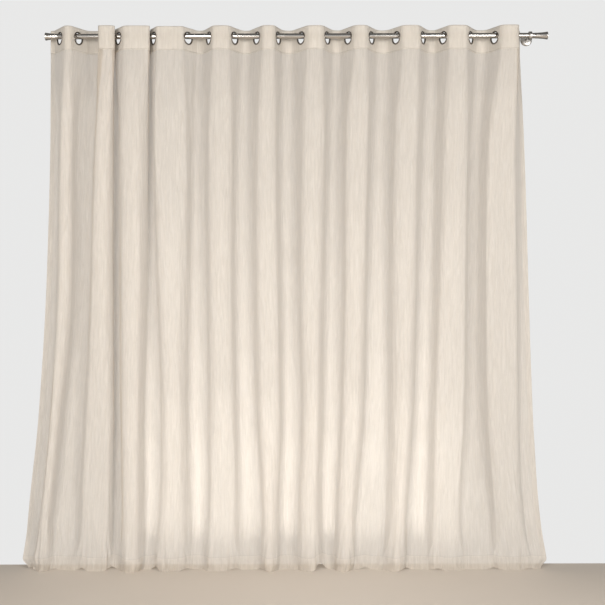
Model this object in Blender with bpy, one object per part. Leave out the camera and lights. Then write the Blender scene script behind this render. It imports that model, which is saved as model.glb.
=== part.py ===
"""Sheer eyelet curtain on its curtain rod, at real size, in metres, +Z up.

X runs along the rod to the right, -Y faces the room, and the wall is the plane Y = 0.
The origin is the centre of the right wall plate's back, so the rod's axis is at Z = 0.
"""

import math

import bmesh
import bpy
from mathutils import Matrix, Vector
from mathutils.geometry import interpolate_bezier

MM = 0.001

# Rod, finials, brackets and wall plates
ROD_RADIUS = 12.5 * MM
ROD_ABOVE_FLOOR = 2443 * MM
WALL_TO_ROD = 90 * MM
ROD_LEFT_END = -2164 * MM
ROD_RIGHT_END = 21 * MM
LEFT_BRACKET_X = -2126 * MM
RIGHT_BRACKET_X = 0.0
COLLAR_RADIUS = 18.5 * MM
COLLAR_WIDTH = 14 * MM
ARM_RADIUS = 5.5 * MM
ROD_SIDES = 32
ARM_SIDES = 20
PLATE_THICKNESS = 9 * MM
GAP = 0.3 * MM

# Turned outlines, each row a radius and a distance along the axis in mm
FINIAL_OUTLINE = (
    (0, 0),
    (12.6, 0),
    (13, 1),
    (13.2, 12),
    (14, 26),
    (15.4, 41),
    (17.5, 54),
    (17.5, 57),
    (16.4, 58),
    (0, 58),
)
PLATE_OUTLINE = ((0, 0), (27, 0), (27, 5), (24.5, 8), (10, 9), (0, 9))

# Eyelets: two flanges that clamp the heading, round an open barrel
EYELET_SIDES = 16
EYELET_INNER = 24 * MM
EYELET_BARREL = 25.6 * MM
EYELET_OUTER = 30.5 * MM
EYELET_HALF_HEIGHT = 3.4 * MM
EYELET_DROP = 9.3 * MM
HOLE_PLUG_LENGTH = 10 * MM
METAL_EDGE_ANGLE = 40

# Cloth
HEADING_ABOVE_ROD = 39 * MM
HEADING_HEIGHT = 108 * MM
HEADING_THICKNESS = 3 * MM
PANEL_THICKNESS = 2 * MM
EYELET_FLAT = 33 * MM
FREE_FLAT = 10 * MM
MOST_DEPTH = 66 * MM
LEAST_RISE = 3 * MM
SIDE_LENGTH = 80 * MM
SETTLING_HEIGHT = 350 * MM
CLOTH_EDGE_ANGLE = 60

# Each half of a fold is one cubic curve from an eyelet's flat to the fold's crest.
# Its handles reach this share of the straight distance, and at the flat no further than
# this many times the rise that is left.
HANDLE_REACH = 0.42
HANDLE_RISE = 1.3
LEAST_SLOPE = 0.05
COARSE_STEPS = 3
FINE_STEPS = 12
DEPTH_TRIES = 24

# Heights above the floor at which the fold table gives places
LEVELS = (2374 * MM, 1921 * MM, 1233 * MM, 683 * MM, 316 * MM, 0.0)

# Heights above the floor of the panel's rows
PANEL_ROWS = (2250, 2050, 1800, 1500, 1150, 800, 500, 280, 150, 70, 0)

# One row for each eyelet, left to right, and the fold between it and the next one.
# turn: angle of the cloth to the rod in the eyelet, in degrees
# depth: reach of the fold from the rod's axis, in mm, to the room and to the wall in turn
# lean: how far right of its middle the fold's crest is, in mm
# places: how far left of the right bracket the cloth crosses below the rod, in mm, at LEVELS
FOLDS = (
    (54, 46, 3, (2156, 2160, 2174, 2204, 2241, 2285)),
    (60, 56, 0, (2072, 2092, 2103, 2154, 2190, 2224)),
    (96, 50, 10, (1970, 1998, 2018, 2044, 2062, 2071)),
    (110, 58, -15, (1911, 1915, 1920, 1920, 1929, 1938)),
    (54, 44, 12, (1887, 1883, 1881, 1878, 1874, 1878)),
    (104, 56, -14, (1748, 1756, 1768, 1780, 1782, 1791)),
    (58, 32, 0, (1726, 1725, 1707, 1695, 1700, 1727)),
    (53, 54, 0, (1569, 1569, 1576, 1580, 1576, 1580)),
    (62, 44, -1, (1473, 1484, 1477, 1475, 1475, 1489)),
    (60, 56, 3, (1356, 1365, 1365, 1356, 1347, 1351)),
    (56, 46, -3, (1253, 1264, 1260, 1250, 1232, 1227)),
    (68, 57, -4, (1156, 1161, 1154, 1149, 1161, 1168)),
    (53, 44, 5, (1050, 1058, 1058, 1049, 1062, 1062)),
    (62, 55, 2, (931, 941, 952, 961, 971, 966)),
    (57, 46, 7, (834, 851, 856, 870, 888, 897)),
    (60, 56, -2, (728, 741, 757, 773, 801, 829)),
    (56, 44, 8, (614, 631, 638, 643, 657, 676)),
    (62, 55, 3, (492, 510, 526, 544, 567, 592)),
    (60, 44, 4, (398, 411, 430, 448, 457, 464)),
    (60, 57, -3, (273, 287, 297, 306, 324, 318)),
    (62, 48, 10, (163, 203, 212, 203, 183, 163)),
    (86, 0, 0, (56, 62, 60, 58, 44, 4)),
)
LEFT_SIDE = (2211, 2213, 2233, 2267, 2306, 2338)
RIGHT_SIDE = (34, 15, -1, -14, -35, -73)
RIGHTWARD = Vector((1, 0))

# A fold that hangs free turns by this angle where it crosses below the rod
USUAL_FOLD = 100 * MM
USUAL_TURN = 76
TURN_PER_MM = 0.35
LEAST_TURN = 48
MOST_TURN = 100

# Near the floor the cloth is swept into the room: its folds keep their front line, this far
# before the rod's axis, and their backs lose this share of their distance to it
SWEEP_HEIGHT = 190 * MM
SWEEP_FRONT = 46 * MM
SWEEP_SHARE = 0.55


def clear_scene():
    for thing in list(bpy.data.objects):
        bpy.data.objects.remove(thing, do_unlink=True)


def finish(name, colour, roughness, metallic):
    """A Principled material."""
    material = bpy.data.materials.new(name)
    material.use_nodes = True
    shader = material.node_tree.nodes["Principled BSDF"]
    shader.inputs["Base Color"].default_value = (*colour, 1.0)
    shader.inputs["Roughness"].default_value = roughness
    shader.inputs["Metallic"].default_value = metallic
    return material


def add_object(name, mesh, material, location=(0, 0, 0), rotation=(0, 0, 0)):
    thing = bpy.data.objects.new(name, mesh)
    if material:
        mesh.materials.append(material)
    thing.location = location
    thing.rotation_euler = rotation
    bpy.context.collection.objects.link(thing)
    return thing


def mesh_from(form, name, sharp_angle=METAL_EDGE_ANGLE):
    """The finished mesh of a bmesh, shaded smooth but for its edges."""
    mesh = bpy.data.meshes.new(name)
    form.to_mesh(mesh)
    form.free()
    mesh.shade_smooth()
    mesh.set_sharp_from_angle(angle=math.radians(sharp_angle))
    return mesh


def turned(name, outline, sides, closed=False):
    """A mesh turned round local Z from rows of radius and height in metres."""
    form = bmesh.new()
    points = [form.verts.new((radius, 0, height)) for radius, height in outline]
    pairs = list(zip(points, points[1:]))
    if closed:
        pairs.append((points[-1], points[0]))
    edges = [form.edges.new(pair) for pair in pairs]
    bmesh.ops.spin(
        form,
        geom=points + edges,
        cent=(0, 0, 0),
        axis=(0, 0, 1),
        angle=math.tau,
        steps=sides,
        use_merge=True,
    )
    bmesh.ops.remove_doubles(form, verts=form.verts, dist=0.01 * MM)
    bmesh.ops.recalc_face_normals(form, faces=form.faces)
    return mesh_from(form, name)


def in_metres(outline):
    return [(radius * MM, height * MM) for radius, height in outline]


def ease(amount):
    """A smooth step from 0 to 1."""
    amount = min(max(amount, 0.0), 1.0)
    return amount * amount * (3 - 2 * amount)


def at_height(values, height):
    """A smooth line through a table row's values, one for each of LEVELS."""
    last = len(LEVELS) - 1
    span = next((i for i in range(last) if height >= LEVELS[i + 1]), last - 1)

    def slope(i):
        low, high = min(i + 1, last), max(i - 1, 0)
        return (values[high] - values[low]) / (LEVELS[high] - LEVELS[low])

    length = LEVELS[span] - LEVELS[span + 1]
    t = min(max((height - LEVELS[span + 1]) / length, 0.0), 1.0)
    start, end = values[span + 1], values[span]
    return (
        (2 * t**3 - 3 * t**2 + 1) * start
        + (t**3 - 2 * t**2 + t) * length * slope(span + 1)
        + (3 * t**2 - 2 * t**3) * end
        + (t**3 - t**2) * length * slope(span)
    )


def half_fold(foot, way, crest, along, steps):
    """Points of a cubic that leaves a flat's end in one way and meets the crest along the rod."""
    reach = HANDLE_REACH * (crest - foot).length
    rise = HANDLE_RISE * abs(crest.y - foot.y) / max(abs(way.y), LEAST_SLOPE)
    foot_handle = foot + way * min(reach, rise)
    return interpolate_bezier(foot, foot_handle, crest - along * reach, crest, steps + 1)


def length_of(points):
    return sum((b - a).length for a, b in zip(points, points[1:]))


def way_at(index, turn):
    """The cloth's direction, left to right, where it crosses below the rod in eyelet index."""
    side = -1 if index % 2 == 0 else 1
    return Vector((math.cos(turn), side * math.sin(turn)))


def fold_points(index, places, turns, depth, flat, steps):
    """Plan points of the fold between eyelets index and index + 1, from one flat's end to the next's."""
    side = -1 if index % 2 == 0 else 1
    lean = FOLDS[index][2] * MM
    start_way, end_way = way_at(index, turns[index]), way_at(index + 1, turns[index + 1])
    start = Vector((places[index], 0)) + start_way * flat
    end = Vector((places[index + 1], 0)) - end_way * flat
    crest = Vector(((places[index] + places[index + 1]) / 2 + lean, side * depth))
    rising = half_fold(start, start_way, crest, RIGHTWARD, steps)
    falling = half_fold(end, -end_way, crest, -RIGHTWARD, steps)
    return rising + falling[-2::-1]


def side_points(right, edge, places, turns, depth, flat, steps):
    """Plan points of the cloth between an outer eyelet's flat and the panel's side."""
    index = len(FOLDS) - 1 if right else 0
    outward = 1 if right else -1
    way = way_at(index, turns[index]) * outward
    foot = Vector((places[index], 0)) + way * flat
    points = half_fold(foot, way, Vector((edge, depth)), RIGHTWARD * outward, steps)
    return points[::outward]


def depth_for(length, points_at, least):
    """The depth at which a fold uses up its length of cloth."""
    low, high = least, MOST_DEPTH
    for _ in range(DEPTH_TRIES):
        middle = (low + high) / 2
        if length_of(points_at(middle)) < length:
            low = middle
        else:
            high = middle
    return (low + high) / 2


def free_turn(width):
    """The angle at which a free fold of this width crosses below the rod."""
    turn = USUAL_TURN + TURN_PER_MM * (USUAL_FOLD - width) / MM
    return math.radians(min(max(turn, LEAST_TURN), MOST_TURN))


def plan_at(height, lengths=None, steps=FINE_STEPS):
    """The cloth's line seen from above at a height over the floor, a point list for each side and fold.

    Without lengths it is the heading's own line.
    """
    places = [-at_height(row[3], height) * MM for row in FOLDS]
    left, right = -at_height(LEFT_SIDE, height) * MM, -at_height(RIGHT_SIDE, height) * MM
    free = ease((LEVELS[0] - height) / SETTLING_HEIGHT) if lengths else 0.0
    widths = [2 * (places[0] - left)]
    widths += [b - a for a, b in zip(places, places[1:])]
    widths.append(2 * (right - places[-1]))
    turns = []
    for index, row in enumerate(FOLDS):
        loose = (free_turn(widths[index]) + free_turn(widths[index + 1])) / 2
        turns.append(math.radians(row[0]) * (1 - free) + loose * free)
    flat = EYELET_FLAT * (1 - free) + FREE_FLAT * free

    def least(*indices):
        return max(flat * math.sin(turns[i]) for i in indices) + LEAST_RISE

    def left_side(depth):
        return side_points(False, left, places, turns, depth, flat, steps)

    def right_side(depth):
        return side_points(True, right, places, turns, depth, flat, steps)

    parts = [left_side(depth_for(SIDE_LENGTH - flat, left_side, least(0)))]
    for index in range(len(FOLDS) - 1):

        def fold(depth):
            return fold_points(index, places, turns, depth, flat, steps)

        if lengths:
            cloth = lengths[index] - 2 * flat
            depth = depth_for(cloth, fold, least(index, index + 1))
        else:
            depth = FOLDS[index][1] * MM
        parts.append(fold(depth))
    parts.append(right_side(depth_for(SIDE_LENGTH - flat, right_side, least(len(FOLDS) - 1))))
    return parts


def swept(point, height):
    """A plan point of the hanging cloth, brought forward near the floor."""
    low = ease(1 - height / SWEEP_HEIGHT)
    behind = max(point.y + SWEEP_FRONT, 0.0)
    return Vector((point.x, point.y - low * SWEEP_SHARE * behind))


def cloth_lengths():
    """The length of cloth from each eyelet to the next, measured along the heading."""
    return [length_of(part) + 2 * EYELET_FLAT for part in plan_at(LEVELS[0])[1:-1]]


def along_line(points, shares):
    """Points at the given shares of a line's length."""
    total = length_of(points)
    found = []
    walked, index = 0.0, 0
    for share in shares:
        target = min(share * total, total)
        while index < len(points) - 2 and walked + (points[index + 1] - points[index]).length < target:
            walked += (points[index + 1] - points[index]).length
            index += 1
        step = (points[index + 1] - points[index]).length
        found.append(points[index].lerp(points[index + 1], min((target - walked) / step, 1.0)))
    return found


def heading_line():
    return [point for part in plan_at(LEVELS[0], steps=COARSE_STEPS) for point in part]


def shares_of(points):
    """Each point's share of the line's length."""
    total = length_of(points)
    shares = [0.0]
    for a, b in zip(points, points[1:]):
        shares.append(shares[-1] + (b - a).length / total)
    return shares


def world_point(point, height):
    """A plan point at a height over the floor, in the part's own frame."""
    return (point.x, point.y - WALL_TO_ROD, height - ROD_ABOVE_FLOOR)


def add_sheet(name, rows, thickness, material):
    """A sheet of even thickness through rows of points, top row first."""
    form = bmesh.new()
    grid = [[form.verts.new(point) for point in row] for row in rows]
    for upper, lower in zip(grid, grid[1:]):
        for column in range(len(upper) - 1):
            form.faces.new((lower[column], lower[column + 1], upper[column + 1], upper[column]))
    sheet = add_object(name, mesh_from(form, name, CLOTH_EDGE_ANGLE), material)
    solidify = sheet.modifiers.new("thickness", "SOLIDIFY")
    solidify.thickness = thickness
    solidify.offset = 0.0
    solidify.use_even_offset = True
    return sheet


def eyelet_places():
    """Each eyelet's centre and its turn about Z."""
    found = []
    for index, row in enumerate(FOLDS):
        way = way_at(index, math.radians(row[0]))
        centre = (-row[3][0] * MM, -WALL_TO_ROD, -EYELET_DROP)
        found.append((centre, math.atan2(way.y, way.x)))
    return found


def add_panel(material):
    top = LEVELS[0] - GAP
    shares = shares_of(heading_line())
    lengths = cloth_lengths()
    rows = []
    for height in (top, *(row * MM for row in PANEL_ROWS)):
        line = [point for part in plan_at(height, lengths) for point in part]
        points = [swept(point, height) for point in along_line(line, shares)]
        rows.append([world_point(point, height) for point in points])
    add_sheet("panel", rows, PANEL_THICKNESS, material)


def add_heading(material):
    line = heading_line()
    top = ROD_ABOVE_FLOOR + HEADING_ABOVE_ROD
    rows = [[world_point(point, height) for point in line] for height in (top, top - HEADING_HEIGHT)]
    heading = add_sheet("heading", rows, HEADING_THICKNESS, material)
    cut = heading.modifiers.new("eyelet holes", "BOOLEAN")
    cut.operation = "DIFFERENCE"
    cut.solver = "EXACT"
    cut.object = add_hole_cutter()


def add_hole_cutter():
    """One cutter with a round plug for each eyelet's hole."""
    form = bmesh.new()
    for centre, turn in eyelet_places():
        on_its_side = Matrix.Rotation(turn, 4, "Z") @ Matrix.Rotation(math.pi / 2, 4, "X")
        bmesh.ops.create_cone(
            form,
            cap_ends=True,
            segments=EYELET_SIDES,
            radius1=EYELET_BARREL + GAP,
            radius2=EYELET_BARREL + GAP,
            depth=HOLE_PLUG_LENGTH,
            matrix=Matrix.Translation(centre) @ on_its_side,
        )
    cutter = add_object("eyelet_hole_cutter", mesh_from(form, "eyelet_hole_cutter"), None)
    hide_guide(cutter)
    return cutter


def hide_guide(thing):
    thing.hide_render = True
    thing.display_type = "WIRE"


def add_eyelets(material):
    half_cloth = HEADING_THICKNESS / 2 + GAP
    outline = (
        (EYELET_INNER, -EYELET_HALF_HEIGHT),
        (EYELET_OUTER, -half_cloth),
        (EYELET_BARREL, -half_cloth),
        (EYELET_BARREL, half_cloth),
        (EYELET_OUTER, half_cloth),
        (EYELET_INNER, EYELET_HALF_HEIGHT),
    )
    for number, (centre, turn) in enumerate(eyelet_places(), start=1):
        mesh = turned(f"eyelet_{number:02d}", outline, EYELET_SIDES, closed=True)
        add_object(f"eyelet_{number:02d}", mesh, material, centre, (math.pi / 2, 0, turn))


def add_rod(material):
    length = ROD_RIGHT_END - ROD_LEFT_END
    outline = ((0, 0), (ROD_RADIUS, 0), (ROD_RADIUS, length), (0, length))
    start = (ROD_LEFT_END, -WALL_TO_ROD, 0)
    add_object("rod", turned("rod", outline, ROD_SIDES), material, start, (0, math.pi / 2, 0))


def add_finials(material):
    outline = in_metres(FINIAL_OUTLINE)
    right = (ROD_RIGHT_END + GAP, -WALL_TO_ROD, 0)
    left = (ROD_LEFT_END - GAP, -WALL_TO_ROD, 0)
    for name, end, turn in (("finial_right", right, math.pi / 2), ("finial_left", left, -math.pi / 2)):
        add_object(name, turned(name, outline, ROD_SIDES), material, end, (0, turn, 0))


def add_bracket(name, x, material):
    """A collar round the rod, fused with the arm that reaches back to the wall plate."""
    bore = ROD_RADIUS + GAP
    half = COLLAR_WIDTH / 2
    outline = ((bore, -half), (COLLAR_RADIUS, -half), (COLLAR_RADIUS, half), (bore, half))
    collar_mesh = turned(name, outline, ROD_SIDES, closed=True)
    collar = add_object(name, collar_mesh, material, (x, -WALL_TO_ROD, 0), (0, math.pi / 2, 0))
    front = -WALL_TO_ROD + (bore + COLLAR_RADIUS) / 2
    back = -PLATE_THICKNESS - GAP
    arm_outline = ((0, 0), (ARM_RADIUS, 0), (ARM_RADIUS, back - front), (0, back - front))
    arm_mesh = turned(f"{name}_arm", arm_outline, ARM_SIDES)
    arm = add_object(f"{name}_arm_guide", arm_mesh, None, (x, back, 0), (math.pi / 2, 0, 0))
    hide_guide(arm)
    join = collar.modifiers.new("arm", "BOOLEAN")
    join.operation = "UNION"
    join.solver = "EXACT"
    join.object = arm


def add_wall_plate(name, x, material):
    mesh = turned(name, in_metres(PLATE_OUTLINE), ROD_SIDES)
    add_object(name, mesh, material, (x, 0, 0), (math.pi / 2, 0, 0))


def build():
    clear_scene()
    cloth = finish("sheer_cloth", (0.80, 0.74, 0.65), 0.85, 0.0)
    doubled_cloth = finish("doubled_cloth", (0.72, 0.66, 0.57), 0.85, 0.0)
    steel = finish("brushed_steel", (0.62, 0.60, 0.57), 0.28, 1.0)
    eyelet_metal = finish("eyelet_metal", (0.52, 0.49, 0.45), 0.25, 1.0)
    cast_metal = finish("cast_metal", (0.60, 0.58, 0.55), 0.32, 1.0)
    add_panel(cloth)
    add_heading(doubled_cloth)
    add_eyelets(eyelet_metal)
    add_rod(steel)
    add_finials(steel)
    for side, x in (("left", LEFT_BRACKET_X), ("right", RIGHT_BRACKET_X)):
        add_bracket(f"bracket_{side}", x, cast_metal)
        add_wall_plate(f"wall_plate_{side}", x, cast_metal)


build()
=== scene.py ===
import math

import bmesh
import bpy
from mathutils import Matrix, Vector, noise
from mathutils.geometry import interpolate_bezier


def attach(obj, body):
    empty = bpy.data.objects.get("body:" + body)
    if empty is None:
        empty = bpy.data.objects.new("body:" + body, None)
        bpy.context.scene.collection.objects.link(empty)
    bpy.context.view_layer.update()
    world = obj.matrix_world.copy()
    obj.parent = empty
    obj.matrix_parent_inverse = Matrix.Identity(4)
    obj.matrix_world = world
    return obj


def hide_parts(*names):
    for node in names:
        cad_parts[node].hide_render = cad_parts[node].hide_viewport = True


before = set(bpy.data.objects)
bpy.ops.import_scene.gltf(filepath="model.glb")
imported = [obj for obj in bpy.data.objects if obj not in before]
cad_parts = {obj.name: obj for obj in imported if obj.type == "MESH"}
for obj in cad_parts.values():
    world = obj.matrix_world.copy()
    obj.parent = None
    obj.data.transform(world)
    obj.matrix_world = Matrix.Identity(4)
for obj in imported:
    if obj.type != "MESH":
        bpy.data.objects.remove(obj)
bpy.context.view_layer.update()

MM = 0.001

# Rod, finials, brackets and wall plates, as in the solids
ROD_RADIUS = 12.5 * MM
ROD_ABOVE_FLOOR = 2443 * MM
WALL_TO_ROD = 90 * MM
ROD_LEFT_END = -2164 * MM
ROD_RIGHT_END = 21 * MM
BRACKETS = {"left": -2126 * MM, "right": 0.0}
COLLAR_RADIUS = 18.5 * MM
COLLAR_WIDTH = 14 * MM
ARM_RADIUS = 5.5 * MM
PLATE_THICKNESS = 9 * MM
GAP = 0.3 * MM
FLOOR = -ROD_ABOVE_FLOOR

# Turned outlines, each row a radius and a distance along the axis in mm
FINIAL_OUTLINE = (
    (0, 0),
    (12.6, 0),
    (13, 0.8),
    (13, 6),
    (13.2, 12),
    (13.6, 20),
    (14.2, 29),
    (15, 38),
    (16.1, 47),
    (17.5, 55),
    (17.5, 57.4),
    (16.9, 58),
    (15.6, 57.6),
    (13.5, 55.8),
    (0, 55.2),
)
PLATE_OUTLINE = ((0, 0), (27, 0), (27, 4.4), (26.2, 6), (23.5, 7.6), (18, 8.5), (10, 9), (0, 9))

# Eyelets
EYELET_BORE = 24 * MM
EYELET_HOLE = 25.9 * MM
EYELET_OUTER = 30.5 * MM
EYELET_HALF_HEIGHT = 3.4 * MM
EYELET_DROP = 9.3 * MM
HOLE_PLUG_LENGTH = 8 * MM

# Cloth
HEADING_ABOVE_ROD = 39 * MM
HEADING_HEIGHT = 108 * MM
HEADING_THICKNESS = 1.6 * MM
EYELET_FLAT = 33 * MM
FREE_FLAT = 10 * MM
MOST_DEPTH = 66 * MM
LEAST_RISE = 3 * MM
SIDE_LENGTH = 80 * MM
SETTLING_HEIGHT = 350 * MM

# Each half of a fold is one cubic curve from an eyelet's flat to the fold's crest
HANDLE_REACH = 0.42
HANDLE_RISE = 1.3
LEAST_SLOPE = 0.05
DEPTH_TRIES = 16
CURVE_STEPS = 16

# Heights above the floor at which the fold table gives places
LEVELS = (2374 * MM, 1921 * MM, 1233 * MM, 683 * MM, 316 * MM, 0.0)

# One row for each eyelet, left to right, and the fold between it and the next one.
# turn: angle of the cloth to the rod in the eyelet, in degrees
# depth: reach of the fold from the rod's axis, in mm, forward and back in turn
# lean: how far right of its middle the fold's crest is, in mm
# places: how far left of the right bracket the cloth crosses below the rod, in mm, at LEVELS
FOLDS = (
    (54, 46, 3, (2156, 2160, 2174, 2204, 2241, 2285)),
    (60, 56, 0, (2072, 2092, 2103, 2154, 2190, 2224)),
    (96, 50, 10, (1970, 1998, 2018, 2044, 2062, 2071)),
    (110, 58, -15, (1911, 1915, 1920, 1920, 1929, 1938)),
    (54, 44, 12, (1887, 1883, 1881, 1878, 1874, 1878)),
    (104, 56, -14, (1748, 1756, 1768, 1780, 1782, 1791)),
    (58, 32, 0, (1726, 1725, 1707, 1695, 1700, 1727)),
    (53, 54, 0, (1569, 1569, 1576, 1580, 1576, 1580)),
    (62, 44, -1, (1473, 1484, 1477, 1475, 1475, 1489)),
    (60, 56, 3, (1356, 1365, 1365, 1356, 1347, 1351)),
    (56, 46, -3, (1253, 1264, 1260, 1250, 1232, 1227)),
    (68, 57, -4, (1156, 1161, 1154, 1149, 1161, 1168)),
    (53, 44, 5, (1050, 1058, 1058, 1049, 1062, 1062)),
    (62, 55, 2, (931, 941, 952, 961, 971, 966)),
    (57, 46, 7, (834, 851, 856, 870, 888, 897)),
    (60, 56, -2, (728, 741, 757, 773, 801, 829)),
    (56, 44, 8, (614, 631, 638, 643, 657, 676)),
    (62, 55, 3, (492, 510, 526, 544, 567, 592)),
    (60, 44, 4, (398, 411, 430, 448, 457, 464)),
    (60, 57, -3, (273, 287, 297, 306, 324, 318)),
    (62, 48, 10, (163, 203, 212, 203, 183, 163)),
    (86, 0, 0, (56, 62, 60, 58, 44, 4)),
)
LEFT_SIDE = (2211, 2213, 2233, 2267, 2306, 2338)
RIGHT_SIDE = (34, 15, -1, -14, -35, -73)
RIGHTWARD = Vector((1, 0))

# A fold that hangs free turns by this angle where it crosses below the rod
USUAL_FOLD = 100 * MM
USUAL_TURN = 76
TURN_PER_MM = 0.35
LEAST_TURN = 48
MOST_TURN = 100

# Near the floor the cloth is swept forward: its folds keep their front line, this far
# before the rod's axis, and their backs lose this share of their distance to it
SWEEP_HEIGHT = 190 * MM
SWEEP_FRONT = 46 * MM
SWEEP_SHARE = 0.55

# The panel's two lower corners curl in and back under this height. The settling cloth is
# gripped there a little, so that it keeps them
CORNER_HEIGHT = 52 * MM
CORNER_WIDTH = 80 * MM
CORNER_IN = 30 * MM
CORNER_BACK = 20 * MM
CORNER_GRIP = 0.6

# The fine sheets
CLOTH_COLUMNS = 800
LOW_STEP = 10.5 * MM
HIGH_STEP = 25 * MM
STEP_CHANGE = 420 * MM
HEADING_COLUMNS = 500
HEADING_ROWS = 14
CLOTH_TOP = LEVELS[0] - GAP

# Relief of the hanging cloth: how far it stands off its folds, and how wide and tall it is
SOFT_FOLD_DEPTH = 4.5 * MM
SOFT_FOLD_WIDTH = 46 * MM
SOFT_FOLD_LENGTH = 900 * MM
CRINKLE_DEPTH = 1.5 * MM
CRINKLE_WIDTH = 15 * MM
CRINKLE_LENGTH = 170 * MM
RELIEF_STARTS_BELOW = 260 * MM
CRINKLE_AT_TOP = 0.35

# Where in the noise pattern each kind of unevenness is read
SOFT_FOLD_LAYER = 1.7
CRINKLE_LAYER = 7.3
BREAK_RISE_LAYER = (3.1, 0.4)
BREAK_STRENGTH_LAYER = (9.2, 2.6)

# Where the hem rests on the floor the cloth breaks: a soft buckle this high up
BREAK_HEIGHT = 58 * MM
BREAK_SPREAD = 34 * MM
BREAK_DEPTH = 11 * MM
BREAK_WIDTH = 90 * MM

# Places along the hem, in mm left of the right bracket, where it lifts off the floor
# place, lift and half width in mm
HEM_LIFTS = (
    (2288, 7, 16),
    (2188, 8, 22),
    (2061, 13, 14),
    (1925, 14, 20),
    (1725, 18, 18),
    (1580, 9, 20),
    (1357, 8, 20),
    (1230, 7, 24),
    (967, 30, 22),
    (767, 10, 26),
    (590, 12, 26),
    (436, 9, 24),
    (172, 9, 26),
    (13, 6, 24),
)
LIFT_HEIGHT = 120 * MM
SEAM_HALF_WIDTH = 3 * MM

# The cloth is cut longer than its drop, and the spare length settles on the floor
SETTLED_HEIGHT = 420 * MM
LOOSE_HEIGHT = 150 * MM
SPARE_HEIGHT = 220 * MM
SPARE_LENGTH = 30 * MM
SETTLING_FRAMES = 40
SETTLING_GAP = 3 * MM

# Camera, from the photo's vanishing point and the rod's height
CAMERA_X = -1048.6 * MM
CAMERA_DISTANCE = 4800 * MM
CAMERA_HEIGHT = 1256 * MM
LENS = 62.3
CAMERA_ROLL = 0.12
SHIFT_X = 0.0008
SHIFT_Y = -0.0124

# The floor, in metres
FLOOR_CENTRE = (CAMERA_X, -4.0, FLOOR)
FLOOR_SIZE = (12, 8)

# Front lamps: name, place in metres, watts and colour
FRONT_LAMPS = (
    ("key", (-3.3, -5.6, -0.5), 227, (1.0, 0.985, 0.965)),
    ("fill", (2.2, -5.2, -0.4), 214, (1.0, 0.99, 0.975)),
)
FRONT_LAMP_SIZE = (1.6, 2.0)
FRONT_LAMP_AIM = (CAMERA_X, -WALL_TO_ROD, -1.2)

# A narrow lamp above that brightens the floor before the hem
FLOOR_LAMP_PLACE = (CAMERA_X, -2.0, 0.1)
FLOOR_LAMP_AIM = (CAMERA_X, -0.5, FLOOR)
FLOOR_LAMP_SIZE = (2.6, 0.7)
FLOOR_LAMP_WATTS = 8
FLOOR_LAMP_COLOUR = (1.0, 0.985, 0.97)
FLOOR_LAMP_SPREAD = 100

# Daylight from behind the middle of the cloth, from lights that overlap, each shorter than the
# one before, so that it grows towards their common lower edge. They stand this far behind the
# wall plates, and each gives its watts for each metre of its height
GLOW_LEFT = -1815 * MM
GLOW_RIGHT = -305 * MM
GLOW_BOTTOM = -2300 * MM
GLOW_HEIGHT = 2040 * MM
GLOW_LIGHTS = 9
GLOW_STEP = 200 * MM
GLOW_BACK = 60 * MM
GLOW_SPREAD = 90
FIRST_GLOW = 0.55
GLOW_GROWTH = 0.028
GLOW_COLOUR = (1.0, 0.995, 0.985)

# Fainter light behind the cloth's two sides, with its watts for each metre of height
SIDE_GLOW_WIDTH = 460 * MM
SIDE_GLOW = 0.25
SIDE_GLOW_COLOUR = (1.0, 0.98, 0.95)

# What the camera sees behind the part, and the colours of the studio that lights the part
# from the front, from above and from behind
BACKDROP = (0.81, 0.81, 0.805)
STUDIO_FRONT = (0.48, 0.475, 0.465)
STUDIO_TOP = (0.14, 0.14, 0.14)
STUDIO_BACK = (0.20, 0.19, 0.172)


def ease(amount):
    """A smooth step from 0 to 1."""
    amount = min(max(amount, 0.0), 1.0)
    return amount * amount * (3 - 2 * amount)


def at_height(values, height):
    """A smooth line through a table row's values, one for each of LEVELS."""
    last = len(LEVELS) - 1
    span = next((i for i in range(last) if height >= LEVELS[i + 1]), last - 1)

    def slope(i):
        low, high = min(i + 1, last), max(i - 1, 0)
        return (values[high] - values[low]) / (LEVELS[high] - LEVELS[low])

    length = LEVELS[span] - LEVELS[span + 1]
    t = min(max((height - LEVELS[span + 1]) / length, 0.0), 1.0)
    start, end = values[span + 1], values[span]
    return (
        (2 * t**3 - 3 * t**2 + 1) * start
        + (t**3 - 2 * t**2 + t) * length * slope(span + 1)
        + (3 * t**2 - 2 * t**3) * end
        + (t**3 - t**2) * length * slope(span)
    )


def half_fold(foot, way, crest, along, steps):
    """Points of a cubic that leaves a flat's end in one way and meets the crest along the rod."""
    reach = HANDLE_REACH * (crest - foot).length
    rise = HANDLE_RISE * abs(crest.y - foot.y) / max(abs(way.y), LEAST_SLOPE)
    foot_handle = foot + way * min(reach, rise)
    return interpolate_bezier(foot, foot_handle, crest - along * reach, crest, steps + 1)


def length_of(points):
    return sum((b - a).length for a, b in zip(points, points[1:]))


def way_at(index, turn):
    """The cloth's direction, left to right, where it crosses below the rod in eyelet index."""
    side = -1 if index % 2 == 0 else 1
    return Vector((math.cos(turn), side * math.sin(turn)))


def fold_points(index, places, turns, depth, flat, steps):
    """Plan points of the fold between eyelets index and index + 1, from one flat's end to the next's."""
    side = -1 if index % 2 == 0 else 1
    lean = FOLDS[index][2] * MM
    start_way, end_way = way_at(index, turns[index]), way_at(index + 1, turns[index + 1])
    start = Vector((places[index], 0)) + start_way * flat
    end = Vector((places[index + 1], 0)) - end_way * flat
    crest = Vector(((places[index] + places[index + 1]) / 2 + lean, side * depth))
    rising = half_fold(start, start_way, crest, RIGHTWARD, steps)
    falling = half_fold(end, -end_way, crest, -RIGHTWARD, steps)
    return rising + falling[-2::-1]


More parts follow.
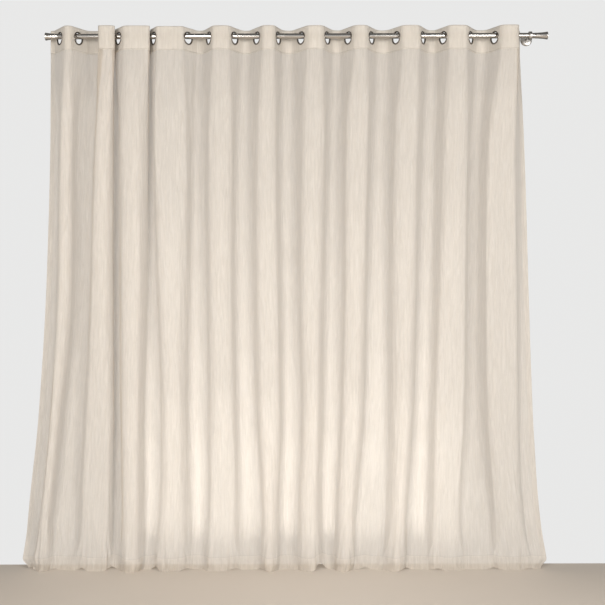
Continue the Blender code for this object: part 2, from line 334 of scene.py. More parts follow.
def side_points(right, edge, places, turns, depth, flat, steps):
    """Plan points of the cloth between an outer eyelet's flat and the panel's side."""
    index = len(FOLDS) - 1 if right else 0
    outward = 1 if right else -1
    way = way_at(index, turns[index]) * outward
    foot = Vector((places[index], 0)) + way * flat
    points = half_fold(foot, way, Vector((edge, depth)), RIGHTWARD * outward, steps)
    return points[::outward]


def depth_for(length, points_at, least):
    """The depth at which a fold uses up its length of cloth."""
    low, high = least, MOST_DEPTH
    for _ in range(DEPTH_TRIES):
        middle = (low + high) / 2
        if length_of(points_at(middle)) < length:
            low = middle
        else:
            high = middle
    return (low + high) / 2


def free_turn(width):
    """The angle at which a free fold of this width crosses below the rod."""
    turn = USUAL_TURN + TURN_PER_MM * (USUAL_FOLD - width) / MM
    return math.radians(min(max(turn, LEAST_TURN), MOST_TURN))


def plan_at(height, lengths=None):
    """The cloth's line seen from above at a height over the floor, a point list for each side and fold.

    Without lengths it is the heading's own line.
    """
    steps = CURVE_STEPS
    places = [-at_height(row[3], height) * MM for row in FOLDS]
    left, right = -at_height(LEFT_SIDE, height) * MM, -at_height(RIGHT_SIDE, height) * MM
    free = ease((LEVELS[0] - height) / SETTLING_HEIGHT) if lengths else 0.0
    widths = [2 * (places[0] - left)]
    widths += [b - a for a, b in zip(places, places[1:])]
    widths.append(2 * (right - places[-1]))
    turns = []
    for index, row in enumerate(FOLDS):
        loose = (free_turn(widths[index]) + free_turn(widths[index + 1])) / 2
        turns.append(math.radians(row[0]) * (1 - free) + loose * free)
    flat = EYELET_FLAT * (1 - free) + FREE_FLAT * free

    def least(*indices):
        return max(flat * math.sin(turns[i]) for i in indices) + LEAST_RISE

    def left_side(depth):
        return side_points(False, left, places, turns, depth, flat, steps)

    def right_side(depth):
        return side_points(True, right, places, turns, depth, flat, steps)

    parts = [left_side(depth_for(SIDE_LENGTH - flat, left_side, least(0)))]
    for index in range(len(FOLDS) - 1):

        def fold(depth):
            return fold_points(index, places, turns, depth, flat, steps)

        if lengths:
            cloth = lengths[index] - 2 * flat
            depth = depth_for(cloth, fold, least(index, index + 1))
        else:
            depth = FOLDS[index][1] * MM
        parts.append(fold(depth))
    parts.append(right_side(depth_for(SIDE_LENGTH - flat, right_side, least(len(FOLDS) - 1))))
    return parts


def joined(parts):
    return [point for part in parts for point in part]


def along_line(points, count):
    """Points at even distances along a line, count steps in all."""
    total = length_of(points)
    found = []
    walked, index = 0.0, 0
    step = (points[1] - points[0]).length
    for number in range(count + 1):
        target = min(number / count * total, total)
        while index < len(points) - 2 and walked + step < target:
            walked += step
            index += 1
            step = (points[index + 1] - points[index]).length
        found.append(points[index].lerp(points[index + 1], min((target - walked) / step, 1.0)))
    return found


HEADING_PARTS = plan_at(LEVELS[0])
CLOTH_LENGTHS = [length_of(part) + 2 * EYELET_FLAT for part in HEADING_PARTS[1:-1]]
HEADING_LINE = joined(HEADING_PARTS)
FLAT_WIDTH = length_of(HEADING_LINE)


def forward_normals(line):
    """For each point of a plan line, the level direction across the cloth that faces forward."""
    normals = []
    last = len(line) - 1
    for index in range(len(line)):
        way = (line[min(index + 1, last)] - line[max(index - 1, 0)]).normalized()
        normals.append(Vector((way.y, -way.x)))
    return normals


def relief(along, height):
    """How far the hanging cloth stands off its fold, in metres."""
    free = ease((CLOTH_TOP - height) / RELIEF_STARTS_BELOW)
    soft = noise.noise((along / SOFT_FOLD_WIDTH, height / SOFT_FOLD_LENGTH, SOFT_FOLD_LAYER))
    crinkle = noise.noise((along / CRINKLE_WIDTH, height / CRINKLE_LENGTH, CRINKLE_LAYER))
    crinkled = CRINKLE_AT_TOP + (1 - CRINKLE_AT_TOP) * free
    return free * SOFT_FOLD_DEPTH * soft + crinkled * CRINKLE_DEPTH * crinkle


def hem_lift(place):
    """How far the hem rises off the floor at a place along it."""
    lift = 0.0
    for centre, rise, half in HEM_LIFTS:
        off = (place + centre * MM) / (half * MM)
        lift += rise * MM * math.exp(-off * off)
    return lift


def settle(along, height):
    """How far the cloth buckles outward where it rests on the floor."""
    rise = BREAK_HEIGHT * (1 + 0.5 * noise.noise((along / BREAK_WIDTH, *BREAK_RISE_LAYER)))
    off = (height - rise) / BREAK_SPREAD
    strength = 0.5 + noise.noise((along / BREAK_WIDTH, *BREAK_STRENGTH_LAYER))
    return BREAK_DEPTH * strength * math.exp(-off * off)


def swept(point, height):
    """A plan point of the hanging cloth, brought forward near the floor."""
    low = ease(1 - height / SWEEP_HEIGHT)
    behind = max(point.y + SWEEP_FRONT, 0.0)
    return Vector((point.x, point.y - low * SWEEP_SHARE * behind))


def curled(line, height):
    """A plan line whose two ends are drawn in and back where they are near the floor."""
    low = ease(1 - height / CORNER_HEIGHT)
    found = []
    for point in line:
        from_left = ease(1 - (point.x - line[0].x) / CORNER_WIDTH)
        from_right = ease(1 - (line[-1].x - point.x) / CORNER_WIDTH)
        inward = CORNER_IN * low * (from_left - from_right)
        back = CORNER_BACK * low * (from_left + from_right)
        found.append(Vector((point.x + inward, point.y + back)))
    return found


def row_heights():
    """Heights over the floor of the fine sheet's rows, from the hem up."""
    low_count = round(STEP_CHANGE / LOW_STEP)
    high_count = round((CLOTH_TOP - STEP_CHANGE) / HIGH_STEP)
    low = [STEP_CHANGE * number / low_count for number in range(low_count)]
    high = [
        STEP_CHANGE + (CLOTH_TOP - STEP_CHANGE) * number / high_count
        for number in range(high_count + 1)
    ]
    return low + high


def cloth_rows(heights):
    """The hanging cloth's points, a row for each height from the hem up."""
    rows = []
    for height in heights:
        plan = along_line(joined(plan_at(height, CLOTH_LENGTHS)), CLOTH_COLUMNS)
        line = curled([swept(point, height) for point in plan], height)
        normals = forward_normals(line)
        lowered = ease(1 - height / LIFT_HEIGHT)
        row = []
        for column, (point, normal) in enumerate(zip(line, normals)):
            along = FLAT_WIDTH * column / CLOTH_COLUMNS
            outward = max(-1.0, min(1.0, -point.y / (MOST_DEPTH / 2)))
            off = relief(along, height) + outward * settle(along, height)
            place = point + normal * off
            lift = hem_lift(point.x) * lowered
            row.append(Vector((place.x, place.y - WALL_TO_ROD, FLOOR + height + lift + GAP)))
        rows.append(row)
    return rows


def settled(rows, heights):
    """The rows after Blender's cloth has let the lowest down on the floor, with some length to spare."""
    count = sum(height <= SETTLED_HEIGHT for height in heights)
    mesh = sheet_mesh("settling_cloth", rows[:count], heights[:count])
    cloth = bpy.data.objects.new("settling_cloth", mesh)
    bpy.context.scene.collection.objects.link(cloth)
    cloth.shape_key_add(name="Basis")
    flat = cloth.shape_key_add(name="cut_length")
    held = cloth.vertex_groups.new(name="held")
    last = len(rows[0]) - 1
    for index, vertex in enumerate(mesh.vertices):
        height = vertex.co.z - FLOOR
        spare = SPARE_LENGTH * ease(1 - height / SPARE_HEIGHT)
        flat.data[index].co = vertex.co - Vector((0, 0, spare))
        grip = ease((height - LOOSE_HEIGHT) / (SETTLED_HEIGHT - LOOSE_HEIGHT))
        column = index % (last + 1)
        from_end = FLAT_WIDTH * min(column, last - column) / last
        corner_grip = CORNER_GRIP * ease(1 - from_end / CORNER_WIDTH)
        held.add([index], max(grip, corner_grip), "REPLACE")
    floor = bpy.data.objects.new("settling_floor", floor_mesh())
    floor.location.z = -SETTLING_GAP
    bpy.context.scene.collection.objects.link(floor)
    floor.modifiers.new("floor", "COLLISION")
    floor.collision.thickness_outer = 2 * MM
    floor.collision.cloth_friction = 30
    drape = cloth.modifiers.new("drape", "CLOTH")
    set_up = drape.settings
    set_up.quality = 6
    set_up.mass = 0.12
    set_up.air_damping = 2
    set_up.tension_stiffness = 20
    set_up.compression_stiffness = 20
    set_up.shear_stiffness = 6
    set_up.bending_stiffness = 0.4
    set_up.vertex_group_mass = "held"
    set_up.pin_stiffness = 4
    set_up.rest_shape_key = flat
    drape.collision_settings.distance_min = 2 * MM
    drape.collision_settings.use_self_collision = False
    drape.point_cache.frame_start = 1
    drape.point_cache.frame_end = SETTLING_FRAMES
    for number in range(1, SETTLING_FRAMES + 1):
        bpy.context.scene.frame_set(number)
    shape = cloth.evaluated_get(bpy.context.evaluated_depsgraph_get()).to_mesh()
    width = len(rows[0])
    found = [vertex.co.copy() for vertex in shape.vertices]
    for thing in (cloth, floor):
        bpy.data.objects.remove(thing, do_unlink=True)
    bpy.context.scene.frame_set(1)
    return [found[start : start + width] for start in range(0, len(found), width)] + rows[count:]


def heading_rows():
    """The heading's points and heights, a row for each height from its lower edge up."""
    line = along_line(HEADING_LINE, HEADING_COLUMNS)
    bottom = HEADING_ABOVE_ROD - HEADING_HEIGHT
    heights = [bottom + HEADING_HEIGHT * number / HEADING_ROWS for number in range(HEADING_ROWS + 1)]
    rows = [[Vector((point.x, point.y - WALL_TO_ROD, height)) for point in line] for height in heights]
    return rows, heights


def sheet_mesh(name, rows, heights):
    """A grid moved onto rows of points, with a UV map that runs 0 to 1 across and up the cloth."""
    low, high = heights[0], heights[-1]
    form = bmesh.new()
    columns = len(rows[0]) - 1
    bmesh.ops.create_grid(
        form, x_segments=columns, y_segments=len(rows) - 1, size=0.5, calc_uvs=True
    )
    layer = form.loops.layers.uv.verify()
    for face in form.faces:
        for loop in face.loops:
            row = round((loop.vert.co.y + 0.5) * (len(rows) - 1))
            loop[layer].uv = (loop.vert.co.x + 0.5, (heights[row] - low) / (high - low))
    for vertex in form.verts:
        column = round((vertex.co.x + 0.5) * columns)
        row = round((vertex.co.y + 0.5) * (len(rows) - 1))
        vertex.co = rows[row][column]
    return mesh_from(form, name, 180)


def mesh_from(form, name, sharp_angle):
    """The finished mesh of a bmesh, shaded smooth but for edges sharper than the angle."""
    mesh = bpy.data.meshes.new(name)
    form.to_mesh(mesh)
    form.free()
    mesh.shade_smooth()
    if sharp_angle < 180:
        mesh.set_sharp_from_angle(angle=math.radians(sharp_angle))
    return mesh


def add_piece(name, mesh, material, slot_name, *nodes):
    """A piece that rides on the body and stands for the given nodes."""
    piece = bpy.data.objects.new(name, mesh)
    mesh.materials.append(material)
    bpy.context.scene.collection.objects.link(piece)
    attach(piece, "root")
    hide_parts(*nodes)
    return piece


def soften(form, width, segments=2, sharp_angle=35):
    """Bevels every edge of a bmesh that is sharper than the angle."""
    sharp = [
        edge
        for edge in form.edges
        if edge.is_manifold and edge.calc_face_angle(0.0) > math.radians(sharp_angle)
    ]
    bmesh.ops.bevel(
        form,
        geom=sharp,
        offset=width,
        segments=segments,
        profile=0.5,
        affect="EDGES",
        material=-1,
    )


def spun(outline, sides, closed=False):
    """A bmesh turned round local Z from rows of radius and height in metres."""
    form = bmesh.new()
    points = [form.verts.new((radius, 0, height)) for radius, height in outline]
    pairs = list(zip(points, points[1:]))
    if closed:
        pairs.append((points[-1], points[0]))
    edges = [form.edges.new(pair) for pair in pairs]
    bmesh.ops.spin(
        form,
        geom=points + edges,
        cent=(0, 0, 0),
        axis=(0, 0, 1),
        angle=math.tau,
        steps=sides,
        use_merge=True,
    )
    bmesh.ops.remove_doubles(form, verts=form.verts, dist=0.01 * MM)
    bmesh.ops.recalc_face_normals(form, faces=form.faces)
    return form


def placed(form, place, turn_y=0.0, turn_x=0.0, turn_z=0.0):
    """Turns a bmesh and moves it to its place."""
    turn = (
        Matrix.Rotation(turn_z, 4, "Z") @ Matrix.Rotation(turn_y, 4, "Y") @ Matrix.Rotation(turn_x, 4, "X")
    )
    bmesh.ops.transform(form, matrix=Matrix.Translation(place) @ turn, verts=form.verts)
    return form


def in_metres(outline):
    return [(radius * MM, height * MM) for radius, height in outline]


class Nodes:
    """Short ways to add nodes and links to a node tree."""

    def __init__(self, tree):
        self.tree = tree

    def add(self, kind, *links, **values):
        """A node of a kind. Values set its properties or inputs, links are (input, output socket)."""
        node = self.tree.nodes.new(kind)
        for key, value in values.items():
            if hasattr(node, key):
                setattr(node, key, value)
            else:
                node.inputs[key.replace("_", " ")].default_value = value
        for place, socket in links:
            self.tree.links.new(socket, node.inputs[place])
        return node

    def maths(self, operation, first, second=0.0):
        """A Math node of two values or sockets."""
        node = self.tree.nodes.new("ShaderNodeMath")
        node.operation = operation
        for place, value in ((0, first), (1, second)):
            if isinstance(value, (int, float)):
                node.inputs[place].default_value = value
            else:
                self.tree.links.new(value, node.inputs[place])
        return node.outputs[0]

    def noise_on(self, vector, scale, detail=2.0, roughness=0.5, distortion=0.0):
        """A noise pattern on a vector that is first scaled each way."""
        scaled = self.add("ShaderNodeVectorMath", (0, vector), operation="MULTIPLY")
        scaled.inputs[1].default_value = scale
        pattern = self.add(
            "ShaderNodeTexNoise",
            ("Vector", scaled.outputs[0]),
            Scale=1.0,
            Detail=detail,
            Roughness=roughness,
            Distortion=distortion,
        )
        return pattern.outputs["Fac"]

    def ramp(self, value, low, high, to_low=0.0, to_high=1.0):
        """A value from one range in another."""
        node = self.tree.nodes.new("ShaderNodeMapRange")
        self.tree.links.new(value, node.inputs["Value"])
        node.inputs["From Min"].default_value = low
        node.inputs["From Max"].default_value = high
        node.inputs["To Min"].default_value = to_low
        node.inputs["To Max"].default_value = to_high
        return node.outputs["Result"]

    def blend(self, amount, first, second):
        """A mix of two colours by a value."""
        node = self.tree.nodes.new("ShaderNodeMix")
        node.data_type = "RGBA"
        self.tree.links.new(amount, node.inputs["Factor"])
        for place, value in (("A", first), ("B", second)):
            socket = next(s for s in node.inputs if s.name == place and s.type == "RGBA")
            if isinstance(value, tuple):
                socket.default_value = (*value, 1.0)
            else:
                self.tree.links.new(value, socket)
        return next(s for s in node.outputs if s.type == "RGBA")


def new_group(name, inputs, outputs):
    """A shader node group with its sockets, and its input and output nodes."""
    group = bpy.data.node_groups.new(name, "ShaderNodeTree")
    for label, kind in inputs:
        group.interface.new_socket(name=label, in_out="INPUT", socket_type=kind)
    for label, kind in outputs:
        group.interface.new_socket(name=label, in_out="OUTPUT", socket_type=kind)
    return group, group.nodes.new("NodeGroupInput"), group.nodes.new("NodeGroupOutput")


def make_weave():
    """Crinkled slubby plain weave on a vector in metres, x across the cloth and y up it. Its Shade is
    partly painted shade along the crinkles and partly the streaks' and slubs' own thread tone.
    """
    group, given, found = new_group(
        "slub_weave",
        [("Place", "NodeSocketVector")],
        [("Shade", "NodeSocketFloat"), ("Height", "NodeSocketFloat"), ("Cover", "NodeSocketFloat")],
    )
    nodes = Nodes(group)
    place = given.outputs["Place"]
    # Each scale is in cells a metre, across the cloth and up it
    crinkle = nodes.noise_on(place, (115, 10, 1), detail=4, roughness=0.66, distortion=0.8)
    streak = nodes.noise_on(place, (210, 9, 1), detail=3, roughness=0.7)
    slub = nodes.ramp(nodes.noise_on(place, (520, 26, 1), detail=1), 0.62, 0.78)
    weft = nodes.ramp(nodes.noise_on(place, (18, 640, 1), detail=1), 0.6, 0.85)
    thread = nodes.noise_on(place, (1500, 1500, 1), detail=1)
    streaks = nodes.ramp(streak, 0.3, 0.7)
    crinkles = nodes.ramp(crinkle, 0.36, 0.64)
    # Painted shade: the crinkles darken the tint along their relief, on top of the streaks' and slubs' own
    # thread tone
    shade = nodes.maths("MULTIPLY_ADD", crinkles, 0.35)
    shade.node.inputs[2].default_value = 0.1
    shade = nodes.maths("ADD", shade, nodes.maths("MULTIPLY", streaks, 0.35))
    shade = nodes.maths("ADD", shade, nodes.maths("MULTIPLY", slub, 0.2))
    group.links.new(shade, found.inputs["Shade"])
    height = nodes.maths("MULTIPLY", crinkles, 0.62)
    height = nodes.maths("ADD", height, nodes.maths("MULTIPLY", streaks, 0.24))
    height = nodes.maths("ADD", height, nodes.maths("MULTIPLY", slub, 0.1))
    height = nodes.maths("ADD", height, nodes.maths("MULTIPLY", thread, 0.04))
    group.links.new(height, found.inputs["Height"])
    cover = nodes.maths("MULTIPLY", streaks, 0.5)
    cover = nodes.maths("ADD", cover, nodes.maths("MULTIPLY", slub, 0.3))
    cover = nodes.maths("ADD", cover, nodes.maths("MULTIPLY", weft, 0.2))
    group.links.new(cover, found.inputs["Cover"])
    return group


def make_grain():
    """Fine brushed grain and faint smudges on a vector that runs along the grain in x."""
    group, given, found = new_group(
        "metal_grain",
        [("Place", "NodeSocketVector"), ("Dull", "NodeSocketFloat")],
        [("Roughness", "NodeSocketFloat"), ("Height", "NodeSocketFloat"), ("Shade", "NodeSocketFloat")],
    )
    nodes = Nodes(group)
    place = given.outputs["Place"]
    grain = nodes.noise_on(place, (60, 2600, 2600), detail=2)
    smudge = nodes.noise_on(place, (30, 45, 45), detail=2, roughness=0.6)
    rough = nodes.maths("MULTIPLY_ADD", grain, 0.12)
    group.links.new(given.outputs["Dull"], rough.node.inputs[2])
    rough = nodes.maths("ADD", rough, nodes.ramp(smudge, 0.35, 0.75, -0.03, 0.07))
    group.links.new(rough, found.inputs["Roughness"])
    group.links.new(grain, found.inputs["Height"])
    group.links.new(nodes.ramp(smudge, 0.3, 0.7), found.inputs["Shade"])
    return group


def new_material(name):
    material = bpy.data.materials.new(name)
    material.use_nodes = True
    tree = material.node_tree
    tree.nodes.clear()
    return material, Nodes(tree)


def cloth_material(name, weave, size, thin, thick_and_shaded, cover, edge_cover, hems, through):
    """Sheer cloth. size is the sheet's width and height, hems the widths of its side and lower hems."""
    material, nodes = new_material(name)
    coords = nodes.add("ShaderNodeTexCoord")
    scaled = nodes.add("ShaderNodeMapping", ("Vector", coords.outputs["UV"]))
    scaled.inputs["Scale"].default_value = (*size, 1)
    woven = nodes.add("ShaderNodeGroup", node_tree=weave)
    nodes.tree.links.new(scaled.outputs[0], woven.inputs["Place"])
    split = nodes.add("ShaderNodeSeparateXYZ", ("Vector", scaled.outputs[0]))
    across, up = split.outputs["X"], split.outputs["Y"]
    side_hem, low_hem = hems
    blur = 1.5 * MM
    from_side = nodes.maths("MINIMUM", across, nodes.maths("SUBTRACT", size[0], across))
    in_side = nodes.ramp(from_side, side_hem + blur, side_hem - blur)
    in_low = nodes.ramp(up, low_hem + blur, low_hem - blur)
    doubled = nodes.maths("MAXIMUM", in_side, in_low)
    # The thick tint is the doubled cloth's colour at the seam, and where the weave's Shade reaches it, it
    # is also painted shade along the crinkles
    tint = nodes.blend(woven.outputs["Shade"], thin, thick_and_shaded)
    off_seam = nodes.maths("ABSOLUTE", nodes.maths("SUBTRACT", up, low_hem))
    seam = nodes.ramp(off_seam, SEAM_HALF_WIDTH, 0.0, 0.0, 0.45)
    tint = nodes.blend(seam, tint, thick_and_shaded)
    bump = nodes.add(
        "ShaderNodeBump", ("Height", woven.outputs["Height"]), Strength=0.9, Distance=3 * MM
    )
    front = nodes.add(
        "ShaderNodeBsdfPrincipled",
        ("Base Color", tint),
        ("Normal", bump.outputs[0]),
        Roughness=0.92,
        Sheen_Weight=0.18,
        Sheen_Roughness=0.5,
        Specular_IOR_Level=0.2,
    )
    back = nodes.add("ShaderNodeBsdfTranslucent", ("Color", tint), ("Normal", bump.outputs[0]))
    lit = nodes.add("ShaderNodeMixShader", (1, front.outputs[0]), (2, back.outputs[0]), Fac=through)
    base = nodes.ramp(woven.outputs["Cover"], 0.0, 1.0, cover - 0.12, cover + 0.1)
    dense = nodes.maths("MAXIMUM", base, nodes.maths("MULTIPLY", doubled, edge_cover))
    clear = nodes.add("ShaderNodeBsdfTransparent")
    sheer = nodes.add("ShaderNodeMixShader", (0, dense), (1, clear.outputs[0]), (2, lit.outputs[0]))
    nodes.add("ShaderNodeOutputMaterial", ("Surface", sheer.outputs[0]))
    return material


def metal_material(name, grain, colour, dull_colour, roughness, along=(1, 1, 1)):
    """Satin metal. along stretches the grain on the piece's own axes."""
    material, nodes = new_material(name)
    coords = nodes.add("ShaderNodeTexCoord")
    scaled = nodes.add("ShaderNodeMapping", ("Vector", coords.outputs["Object"]))
    scaled.inputs["Scale"].default_value = along
    grained = nodes.add("ShaderNodeGroup", node_tree=grain)
    nodes.tree.links.new(scaled.outputs[0], grained.inputs["Place"])
    grained.inputs["Dull"].default_value = roughness
    tint = nodes.blend(grained.outputs["Shade"], colour, dull_colour)
    bump = nodes.add(
        "ShaderNodeBump", ("Height", grained.outputs["Height"]), Strength=0.12, Distance=0.1 * MM
    )
    metal = nodes.add(
        "ShaderNodeBsdfPrincipled",
        ("Base Color", tint),
        ("Roughness", grained.outputs["Roughness"]),
        ("Normal", bump.outputs[0]),
        Metallic=1.0,
    )
    nodes.add("ShaderNodeOutputMaterial", ("Surface", metal.outputs[0]))
    return material


def add_cloth(weave):
    """The hanging panel, one sheer sheet on its solid's folds."""
    size = (FLAT_WIDTH, CLOTH_TOP)
    material = cloth_material(
        "sheer_cloth",
        weave,
        size,
        thin=(0.88, 0.805, 0.715),
        thick_and_shaded=(0.66, 0.59, 0.505),
        cover=0.86,
        edge_cover=0.86,
        hems=(24 * MM, 62 * MM),
        through=0.5,
    )
    heights = row_heights()
    mesh = sheet_mesh("cloth", settled(cloth_rows(heights), heights), heights)
    piece = add_piece("cloth", mesh, material, "sheer_cloth", "panel")


def add_heading(weave):
    """The heading band, closed all round, with a hole for each eyelet."""
    size = (FLAT_WIDTH, HEADING_HEIGHT)
    material = cloth_material(
        "doubled_cloth",
        weave,
        size,
        thin=(0.87, 0.815, 0.74),
        thick_and_shaded=(0.69, 0.635, 0.56),
        cover=0.84,
        edge_cover=0.95,
        hems=(24 * MM, 3 * MM),
        through=0.34,
    )
    mesh = sheet_mesh("heading_band", *heading_rows())
    piece = add_piece("heading_band", mesh, material, "doubled_cloth", "heading")
    solidify = piece.modifiers.new("thickness", "SOLIDIFY")
    solidify.thickness = HEADING_THICKNESS
    solidify.offset = 0.0
    solidify.use_even_offset = True
    cut = piece.modifiers.new("eyelet holes", "BOOLEAN")
    cut.operation = "DIFFERENCE"
    cut.solver = "EXACT"
    cut.object = hole_cutter()


def eyelet_places():
    """Each eyelet's centre and its turn about Z."""
    found = []
    for index, row in enumerate(FOLDS):
        way = way_at(index, math.radians(row[0]))
        found.append((Vector((-row[3][0] * MM, -WALL_TO_ROD, -EYELET_DROP)), math.atan2(way.y, way.x)))
    return found


def hole_cutter():
    """One hidden cutter with a round plug for each eyelet's hole."""
    form = bmesh.new()
    for centre, turn in eyelet_places():
        on_its_side = Matrix.Rotation(turn, 4, "Z") @ Matrix.Rotation(math.pi / 2, 4, "X")
        bmesh.ops.create_cone(
            form,
            cap_ends=True,
            segments=48,
            radius1=EYELET_HOLE,
            radius2=EYELET_HOLE,
            depth=HOLE_PLUG_LENGTH,
            matrix=Matrix.Translation(centre) @ on_its_side,
        )
    cutter = bpy.data.objects.new("hole_cutter", mesh_from(form, "hole_cutter", 40))
    bpy.context.scene.collection.objects.link(cutter)
    cutter.hide_render = True
    cutter.display_type = "WIRE"
    return cutter


def eyelet_outline():
    """An eyelet's section: two domed flanges pressed onto the cloth round a smooth bore."""
    half_cloth = HEADING_THICKNESS / 2 + 0.2 * MM
    dome = []
    steps = 8
    for step in range(steps + 1):
        angle = math.pi * step / steps
        middle = (EYELET_BORE + EYELET_OUTER) / 2
        reach = (EYELET_OUTER - EYELET_BORE) / 2
        radius = middle - reach * math.cos(angle)
        rise = EYELET_HALF_HEIGHT - half_cloth
        dome.append((radius, half_cloth + rise * math.sin(angle) ** 0.7))
    barrel = EYELET_HOLE - GAP
    upper = dome[:-1] + [(EYELET_OUTER, half_cloth), (barrel, half_cloth)]
    lower = [(radius, -height) for radius, height in reversed(upper)]
    return upper + lower


def add_eyelets(material):
    outline = eyelet_outline()
    for number, (centre, turn) in enumerate(eyelet_places(), start=1):
        form = placed(spun(outline, 48, closed=True), centre, turn_x=math.pi / 2, turn_z=turn)
        mesh = mesh_from(form, f"ring_{number:02d}", 50)
        add_piece(f"ring_{number:02d}", mesh, material, "eyelet_metal", f"eyelet_{number:02d}")


def add_rod(material):
    length = ROD_RIGHT_END - ROD_LEFT_END
    form = bmesh.new()
    bmesh.ops.create_cone(
        form, cap_ends=True, segments=64, radius1=ROD_RADIUS, radius2=ROD_RADIUS, depth=length
    )
    soften(form, 0.5 * MM)
    middle = ((ROD_RIGHT_END + ROD_LEFT_END) / 2, -WALL_TO_ROD, 0)
    placed(form, middle, turn_y=math.pi / 2)
    add_piece("rod_tube", mesh_from(form, "rod_tube", 40), material, "brushed_steel", "rod")


def add_finials(material):
    for side, end, turn in (
        ("right", ROD_RIGHT_END + GAP, math.pi / 2),
        ("left", ROD_LEFT_END - GAP, -math.pi / 2),
    ):
        form = spun(in_metres(FINIAL_OUTLINE), 64)
        placed(form, (end, -WALL_TO_ROD, 0), turn_y=turn)
        name = f"trumpet_{side}"
        add_piece(name, mesh_from(form, name, 50), material, "brushed_steel", f"finial_{side}")


def add_bracket(side, x, material):
    """A collar round the rod, with the arm that reaches back to the wall plate."""
    bore = ROD_RADIUS + GAP
    half = COLLAR_WIDTH / 2
    collar = spun(((bore, -half), (COLLAR_RADIUS, -half), (COLLAR_RADIUS, half), (bore, half)), 64, True)
    soften(collar, 0.8 * MM)
    placed(collar, (x, -WALL_TO_ROD, 0), turn_y=math.pi / 2)
    name = f"collar_{side}"
    piece = add_piece(name, mesh_from(collar, name, 50), material, "cast_metal", f"bracket_{side}")
    front = -WALL_TO_ROD + (bore + COLLAR_RADIUS) / 2
    back = -PLATE_THICKNESS - GAP
    form = bmesh.new()
    bmesh.ops.create_cone(
        form, cap_ends=True, segments=40, radius1=ARM_RADIUS, radius2=ARM_RADIUS, depth=back - front
    )
    placed(form, (x, (front + back) / 2, 0), turn_x=math.pi / 2)
    arm = bpy.data.objects.new(f"arm_guide_{side}", mesh_from(form, f"arm_guide_{side}", 40))
    bpy.context.scene.collection.objects.link(arm)
    arm.hide_render = True
    arm.display_type = "WIRE"
    join = piece.modifiers.new("arm", "BOOLEAN")
    join.operation = "UNION"
    join.solver = "EXACT"
    join.object = arm


def add_wall_plate(side, x, material):
    name = f"plate_{side}"
    form = placed(spun(in_metres(PLATE_OUTLINE), 64), (x, 0, 0), turn_x=math.pi / 2)
    add_piece(name, mesh_from(form, name, 50), material, "cast_metal", f"wall_plate_{side}")


def floor_mesh():
    form = bmesh.new()
    bmesh.ops.create_grid(form, x_segments=1, y_segments=1, size=0.5)
    matrix = Matrix.Translation(FLOOR_CENTRE) @ Matrix.Diagonal((*FLOOR_SIZE, 1, 1))
    bmesh.ops.transform(form, matrix=matrix, verts=form.verts)
    return mesh_from(form, "floor", 180)


def add_floor():
    """A plain pale floor that ends below the wall plates."""
    floor = bpy.data.objects.new("floor", floor_mesh())
    bpy.context.scene.collection.objects.link(floor)
    material, nodes = new_material("pale_floor")
    coords = nodes.add("ShaderNodeTexCoord")
    cloudy = nodes.noise_on(coords.outputs["Object"], (0.8, 0.8, 0.8), detail=2)
    tint = nodes.blend(nodes.ramp(cloudy, 0.3, 0.7), (0.59, 0.525, 0.455), (0.63, 0.565, 0.495))
    paint = nodes.add("ShaderNodeBsdfPrincipled", ("Base Color", tint), Roughness=0.7)
    nodes.add("ShaderNodeOutputMaterial", ("Surface", paint.outputs[0]))
    floor.data.materials.append(material)


def add_light(name, place, aim, size, watts, colour, spread=180):
    """A soft rectangular light that no camera sees. spread is its beam's angle in degrees."""
    light = bpy.data.lights.new(name, "AREA")
    light.shape = "RECTANGLE"
    light.size, light.size_y = size
    light.energy = watts
    light.color = colour
    light.spread = math.radians(spread)
    lamp = bpy.data.objects.new(name, light)
    lamp.location = place
    lamp.rotation_euler = (Vector(aim) - Vector(place)).to_track_quat("-Z", "Y").to_euler()
    lamp.visible_camera = False
    bpy.context.scene.collection.objects.link(lamp)


def add_back_light(name, left, right, tall, watts, colour):
    """A light behind the cloth that shines straight at it, from the glow's lower edge up."""
    centre = GLOW_BOTTOM + tall / 2
    place = ((left + right) / 2, GLOW_BACK, centre)
    aim = (place[0], -WALL_TO_ROD, centre)
    add_light(name, place, aim, (right - left, tall), watts, colour, GLOW_SPREAD)


def add_lamps():
    """The front lamps, the floor's lamp, the glow behind the cloth and the fainter one at its sides."""
    for name, place, watts, colour in FRONT_LAMPS:
        add_light(name, place, FRONT_LAMP_AIM, FRONT_LAMP_SIZE, watts, colour)
    add_light(
        "floor_light",
        FLOOR_LAMP_PLACE,
        FLOOR_LAMP_AIM,
        FLOOR_LAMP_SIZE,
        FLOOR_LAMP_WATTS,
        FLOOR_LAMP_COLOUR,
        FLOOR_LAMP_SPREAD,
    )
    for number in range(GLOW_LIGHTS):
        tall = GLOW_HEIGHT - number * GLOW_STEP
        watts = tall * (FIRST_GLOW + GLOW_GROWTH * number**2)
        add_back_light(f"glow_{number}", GLOW_LEFT, GLOW_RIGHT, tall, watts, GLOW_COLOUR)
    for side, left in (("left", GLOW_LEFT - SIDE_GLOW_WIDTH), ("right", GLOW_RIGHT)):
        right = left + SIDE_GLOW_WIDTH
        watts = GLOW_HEIGHT * SIDE_GLOW
        add_back_light(f"side_glow_{side}", left, right, GLOW_HEIGHT, watts, SIDE_GLOW_COLOUR)


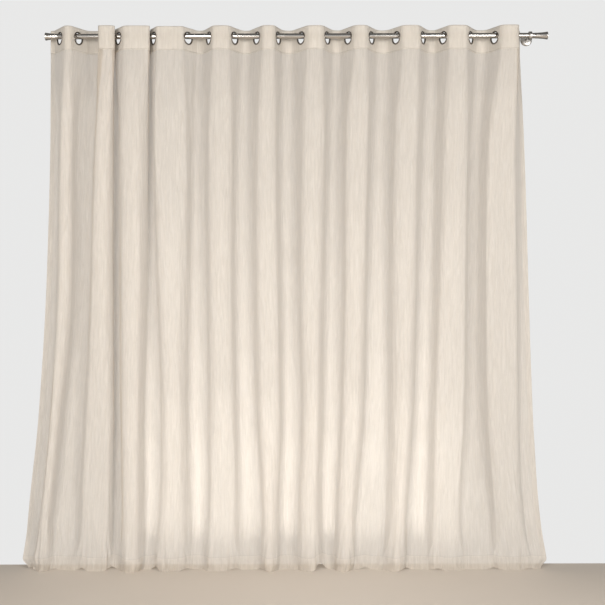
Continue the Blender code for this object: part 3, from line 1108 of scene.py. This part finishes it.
def add_surround():
    """A plain pale backdrop for the camera, and a softer studio that the part is lit by."""
    bpy.context.scene.view_settings.view_transform = "Standard"
    world = bpy.data.worlds.new("studio")
    bpy.context.scene.world = world
    world.use_nodes = True
    tree = world.node_tree
    tree.nodes.clear()
    nodes = Nodes(tree)
    path = nodes.add("ShaderNodeLightPath")
    coords = nodes.add("ShaderNodeTexCoord")
    way = nodes.add("ShaderNodeSeparateXYZ", ("Vector", coords.outputs["Generated"]))
    above = nodes.ramp(way.outputs["Z"], 0.35, 0.7)
    shade = nodes.blend(above, STUDIO_FRONT, STUDIO_TOP)
    behind = nodes.ramp(way.outputs["Y"], -0.1, 0.4)
    shade = nodes.blend(behind, shade, STUDIO_BACK)
    seen = nodes.add("ShaderNodeBackground", Color=(*BACKDROP, 1), Strength=1.0)
    around = nodes.add("ShaderNodeBackground", ("Color", shade), Strength=1.0)
    mix = nodes.add(
        "ShaderNodeMixShader",
        (0, path.outputs["Is Camera Ray"]),
        (1, around.outputs[0]),
        (2, seen.outputs[0]),
    )
    nodes.add("ShaderNodeOutputWorld", ("Surface", mix.outputs[0]))


def add_camera():
    lens = bpy.data.cameras.new("camera")
    lens.lens = LENS
    lens.sensor_width = 36
    lens.shift_x, lens.shift_y = SHIFT_X, SHIFT_Y
    camera = bpy.data.objects.new("camera", lens)
    camera.location = (CAMERA_X, -WALL_TO_ROD - CAMERA_DISTANCE, FLOOR + CAMERA_HEIGHT)
    camera.rotation_euler = (math.pi / 2, math.radians(CAMERA_ROLL), 0)
    bpy.context.scene.collection.objects.link(camera)
    bpy.context.scene.camera = camera


def build():
    weave = make_weave()
    grain = make_grain()
    add_camera()
    add_cloth(weave)
    add_heading(weave)
    steel = metal_material("brushed_steel", grain, (0.62, 0.59, 0.56), (0.50, 0.48, 0.45), 0.16)
    nickel = metal_material("eyelet_metal", grain, (0.26, 0.235, 0.21), (0.20, 0.18, 0.16), 0.2)
    cast = metal_material("cast_metal", grain, (0.62, 0.60, 0.57), (0.52, 0.50, 0.475), 0.26)
    add_rod(steel)
    add_finials(steel)
    add_eyelets(nickel)
    for side, x in BRACKETS.items():
        add_bracket(side, x, cast)
        add_wall_plate(side, x, cast)
    add_floor()
    add_lamps()
    add_surround()


build()
